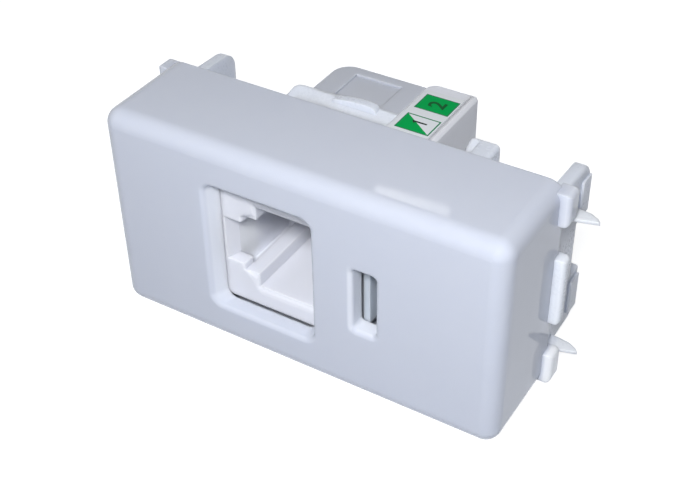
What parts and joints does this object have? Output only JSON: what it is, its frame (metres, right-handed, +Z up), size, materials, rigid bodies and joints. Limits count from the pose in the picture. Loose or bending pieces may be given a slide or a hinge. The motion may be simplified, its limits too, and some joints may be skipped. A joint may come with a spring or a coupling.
{
  "type": "telephone jack module",
  "caption": "Snap-in wall-frame module: rectangular cover with a telephone plug port in a tapered window, a release slot, end stops and barbs, and a rear terminal block.",
  "frame": {"origin": "middle of the seating plane, at the rear faces of the end stops of the cover", "axes": "+X right along the long side, +Y from the front face towards the back, +Z up"},
  "size_m": [0.0514, 0.0268, 0.0244],
  "materials": {
    "cover_plastic": "smooth gloss",
    "carrier_plastic": "smooth satin",
    "jack_plastic": "smooth satin",
    "comb_plastic": "matte",
    "contact_gold": "plated",
    "board_laminate": "solder mask",
    "fork_tin": "tin plated",
    "block_plastic": "smooth satin",
    "rear_plastic": "smooth satin",
    "label_paper": "printed, coated"
  },
  "bodies": {
    "root": {"front_cover": "cover_plastic", "carrier_frame": "carrier_plastic", "jack_housing": "jack_plastic", "contact_comb": "comb_plastic", "contact_1": "contact_gold", "contact_2": "contact_gold", "contact_3": "contact_gold", "contact_4": "contact_gold", "circuit_board": "board_laminate", "terminal_fork_1": "fork_tin", "terminal_fork_2": "fork_tin", "terminal_fork_3": "fork_tin", "terminal_fork_4": "fork_tin", "terminal_block": "block_plastic", "terminal_cap": "block_plastic", "rear_shell": "rear_plastic", "wire_label": "label_paper"}
  },
  "joints": []
}
